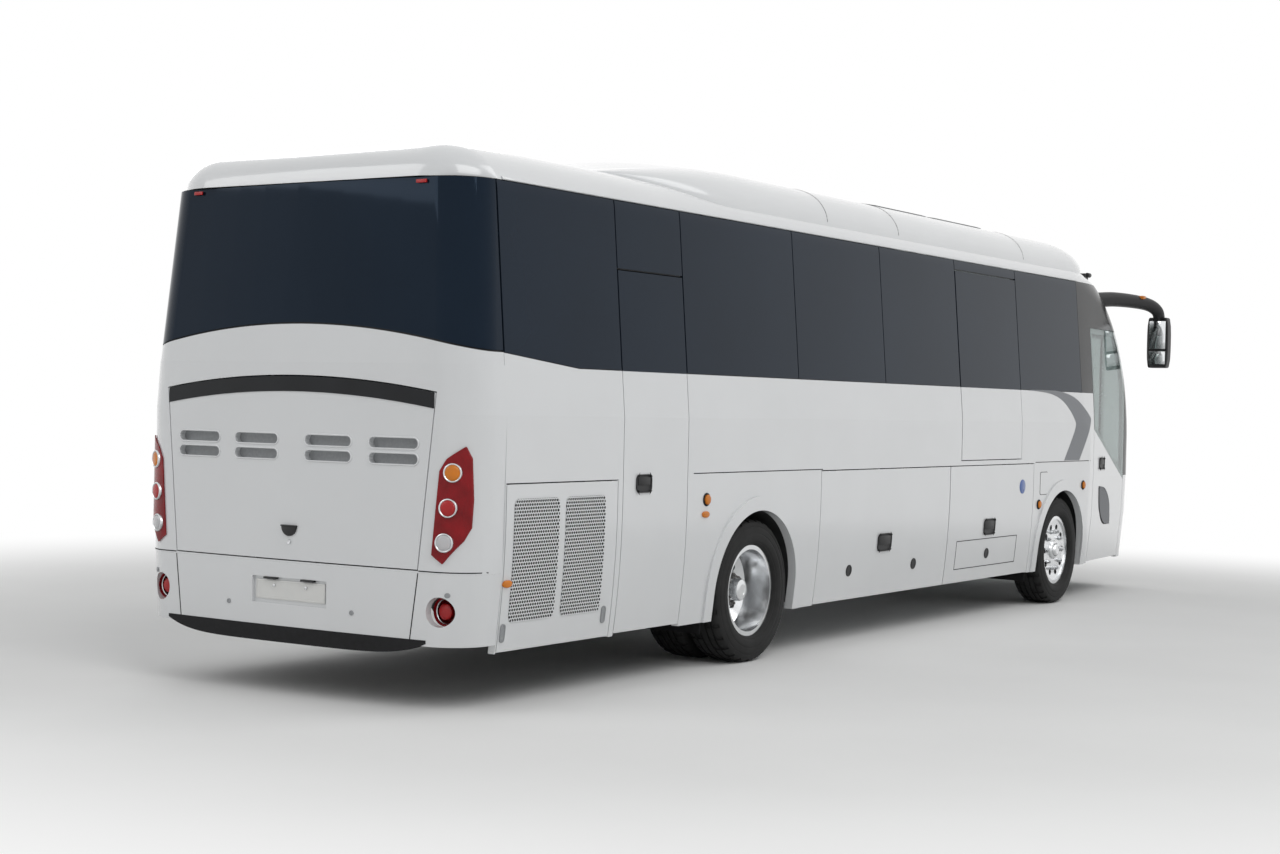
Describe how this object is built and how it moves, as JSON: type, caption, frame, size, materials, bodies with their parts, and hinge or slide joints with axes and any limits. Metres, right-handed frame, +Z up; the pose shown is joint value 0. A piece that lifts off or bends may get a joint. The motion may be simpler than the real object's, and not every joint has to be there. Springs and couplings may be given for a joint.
{
  "type": "coach bus",
  "caption": "Midi touring coach with twin-tyred rear axle, steered front wheels, plug-type passenger doors, lift door, luggage flaps and rear engine lid.",
  "frame": {"origin": "on the road under the middle of the overall box", "axes": "+X to the front of the bus, +Y to its left side, +Z up"},
  "size_m": [10.824, 2.87, 3.34],
  "materials": {
    "body_paint": "glossy white paint",
    "black_frame": "gloss black",
    "tinted_glass": "dark tinted bonded glass",
    "chassis": "satin black chassis paint",
    "floor": "matte floor covering",
    "rubber": "matte black rubber",
    "tyre": "matte black rubber",
    "rim": "polished aluminium",
    "lamp_clear": "clear lens",
    "lamp_red": "red lens",
    "lamp_amber": "amber lens",
    "seat_frame": "dark grey frame",
    "seat_fabric": "dark blue woven cloth"
  },
  "bodies": {
    "body": {"underframe": "chassis", "floor_deck": "floor", "luggage_bay": "chassis", "wheel_housings": "chassis", "side_panel_left": "body_paint", "side_panel_right": "body_paint", "arch_trims": "body_paint", "window_frames": "black_frame", "side_windows": "tinted_glass", "roof": "body_paint", "roof_unit": "body_paint", "front_panel": "body_paint", "front_bumper": "body_paint", "front_pillars": "black_frame", "windscreen": "tinted_glass", "rear_panel": "body_paint", "rear_bumper": "body_paint", "rear_pillars": "black_frame", "rear_window": "tinted_glass", "headlamps": "lamp_clear", "tail_lamps": "lamp_red", "marker_lamps": "lamp_amber", "mirrors": "black_frame", "wipers": "black_frame", "dashboard": "black_frame", "steering_wheel": "black_frame", "seats": "seat_frame", "seat_cushions": "seat_fabric", "engine": "chassis", "front_axle": "chassis", "rear_axle": "chassis", "mudflaps": "rubber"},
    "front_door_arm": {"front_door_arm": "chassis"},
    "front_door": {"front_door": "body_paint", "front_door_glass": "tinted_glass"},
    "rear_door_arm": {"rear_door_arm": "chassis"},
    "rear_door": {"rear_door": "body_paint", "rear_door_glass": "tinted_glass"},
    "lift_door": {"lift_door": "body_paint", "lift_door_glass": "tinted_glass"},
    "flap_right_rear": {"luggage_flap_right_rear": "body_paint"},
    "flap_right_front": {"luggage_flap_right_front": "body_paint"},
    "flap_left_rear": {"luggage_flap_left_rear": "body_paint"},
    "flap_left_front": {"luggage_flap_left_front": "body_paint"},
    "engine_lid": {"engine_lid": "body_paint"},
    "service_door_right": {"service_door_right": "body_paint"},
    "service_door_left": {"service_door_left": "body_paint"},
    "knuckle_left": {"knuckle_left": "chassis"},
    "knuckle_right": {"knuckle_right": "chassis"},
    "wheel_front_left": {"tyre_front_left": "tyre", "rim_front_left": "rim"},
    "wheel_front_right": {"tyre_front_right": "tyre", "rim_front_right": "rim"},
    "wheels_rear_left": {"tyres_rear_left": "tyre", "rims_rear_left": "rim"},
    "wheels_rear_right": {"tyres_rear_right": "tyre", "rims_rear_right": "rim"}
  },
  "joints": [
    {"name": "steer_left", "type": "hinge", "parent": "body", "child": "knuckle_left", "pos_m": [3.09, 0.905, 0.47], "axis": [0, 0, 1], "range_deg": [-40, 40]},
    {"name": "steer_right", "type": "hinge", "parent": "body", "child": "knuckle_right", "pos_m": [3.09, -0.905, 0.47], "axis": [0, 0, 1], "range_deg": [-40, 40]},
    {"name": "spin_front_left", "type": "hinge", "parent": "knuckle_left", "child": "wheel_front_left", "pos_m": [3.09, 1.077, 0.47], "axis": [0, 1, 0], "continuous": true},
    {"name": "spin_front_right", "type": "hinge", "parent": "knuckle_right", "child": "wheel_front_right", "pos_m": [3.09, -1.077, 0.47], "axis": [0, 1, 0], "continuous": true},
    {"name": "spin_rear_left", "type": "hinge", "parent": "body", "child": "wheels_rear_left", "pos_m": [-2.31, 1.077, 0.47], "axis": [0, 1, 0], "continuous": true},
    {"name": "spin_rear_right", "type": "hinge", "parent": "body", "child": "wheels_rear_right", "pos_m": [-2.31, -1.077, 0.47], "axis": [0, 1, 0], "continuous": true},
    {"name": "front_door_swing", "type": "hinge", "parent": "body", "child": "front_door_arm", "pos_m": [4.56, -1.03, 1.4], "axis": [0, 0, 1], "range_deg": [0, 110]},
    {"name": "front_door_leaf", "type": "hinge", "parent": "front_door_arm", "child": "front_door", "pos_m": [4.1, -1.03, 1.4], "axis": [0, 0, -1], "range_deg": [0, 110]},
    {"name": "rear_door_swing", "type": "hinge", "parent": "body", "child": "rear_door_arm", "pos_m": [-3.316, -1.095, 1.4], "axis": [0, 0, 1], "range_deg": [0, 110]},
    {"name": "rear_door_leaf", "type": "hinge", "parent": "rear_door_arm", "child": "rear_door", "pos_m": [-3.646, -1.095, 1.4], "axis": [0, 0, -1], "range_deg": [0, 110]},
    {"name": "lift_door_hinge", "type": "hinge", "parent": "body", "child": "lift_door", "pos_m": [2.103, -1.251, 2], "axis": [0, 0, 1], "range_deg": [0, 95]},
    {"name": "flap_right_rear_hinge", "type": "hinge", "parent": "body", "child": "flap_right_rear", "pos_m": [-0.41, -1.251, 1.243], "axis": [-1, 0, 0], "range_deg": [0, 85]},
    {"name": "flap_right_front_hinge", "type": "hinge", "parent": "body", "child": "flap_right_front", "pos_m": [1.49, -1.251, 1.243], "axis": [-1, 0, 0], "range_deg": [0, 85]},
    {"name": "flap_left_rear_hinge", "type": "hinge", "parent": "body", "child": "flap_left_rear", "pos_m": [-0.41, 1.251, 1.243], "axis": [1, 0, 0], "range_deg": [0, 85]},
    {"name": "flap_left_front_hinge", "type": "hinge", "parent": "body", "child": "flap_left_front", "pos_m": [1.49, 1.251, 1.243], "axis": [1, 0, 0], "range_deg": [0, 85]},
    {"name": "engine_lid_hinge", "type": "hinge", "parent": "body", "child": "engine_lid", "pos_m": [-5.415, 0, 1.793], "axis": [0, 1, 0], "range_deg": [0, 75]},
    {"name": "service_right_hinge", "type": "hinge", "parent": "body", "child": "service_door_right", "pos_m": [-4.51, -1.251, 1.228], "axis": [-1, 0, 0], "range_deg": [0, 85]},
    {"name": "service_left_hinge", "type": "hinge", "parent": "body", "child": "service_door_left", "pos_m": [-4.51, 1.251, 1.228], "axis": [1, 0, 0], "range_deg": [0, 85]}
  ],
  "couplings": [
    {"joint": "steer_right", "follows": "steer_left", "ratio": 1},
    {"joint": "front_door_leaf", "follows": "front_door_swing", "ratio": 1},
    {"joint": "rear_door_leaf", "follows": "rear_door_swing", "ratio": 1}
  ]
}
